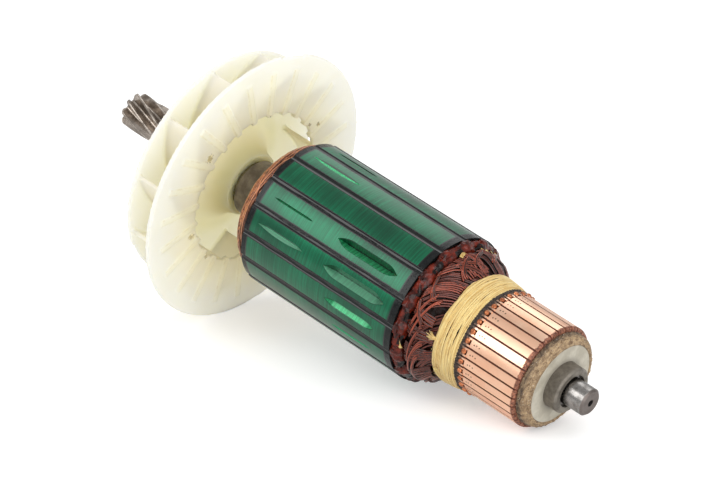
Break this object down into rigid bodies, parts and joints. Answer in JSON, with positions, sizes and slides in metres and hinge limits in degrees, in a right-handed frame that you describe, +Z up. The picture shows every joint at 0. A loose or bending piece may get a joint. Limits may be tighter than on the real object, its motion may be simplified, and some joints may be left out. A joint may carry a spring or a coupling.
{
  "type": "power tool motor armature",
  "caption": "Wound armature of a portable power tool motor: helical pinion, plastic cooling fan, slotted steel core, wound coils, cord binding and copper commutator on one shaft.",
  "frame": {"origin": "middle of the armature's length on the surface that it lies on, below the shaft", "axes": "+X along the lying armature towards the commutator, +Z up, +Y to the left of +X"},
  "size_m": [0.1941, 0.092, 0.09],
  "materials": {
    "shaft_steel": "ground",
    "dark_steel": "turned, dull",
    "fan_plastic": "milky, half clear",
    "green_lacquer": "glossy lacquer on steel",
    "red_lacquer": "glossy lacquer on fibre",
    "black_fibre": "lacquered",
    "front_wire": "enamelled copper",
    "rear_wire": "enamelled and lacquered copper",
    "cord": "waxed twine",
    "copper": "turned",
    "mica": "split mica, rough",
    "resin": "moulded"
  },
  "bodies": {
    "root": {"shaft": "shaft_steel", "pinion": "dark_steel", "spacer_sleeve": "dark_steel", "fan_back_plate": "fan_plastic", "fan_blades": "fan_plastic", "fan_ring": "fan_plastic", "laminated_core": "green_lacquer", "front_end_plate": "black_fibre", "rear_end_plate": "black_fibre", "slot_conductors": "front_wire", "slot_wedges": "black_fibre", "front_coil_bed": "resin", "front_coil_heads": "front_wire", "rear_washer": "red_lacquer", "rear_coil_bed": "resin", "riser_resin": "resin", "rear_coil_heads": "rear_wire", "binding_cord": "cord", "commutator_bars": "copper", "bar_micas": "mica", "riser_wires": "copper", "commutator_shell": "resin", "commutator_bush": "dark_steel", "mica_collar": "mica", "clamp_ring": "shaft_steel"}
  },
  "joints": []
}
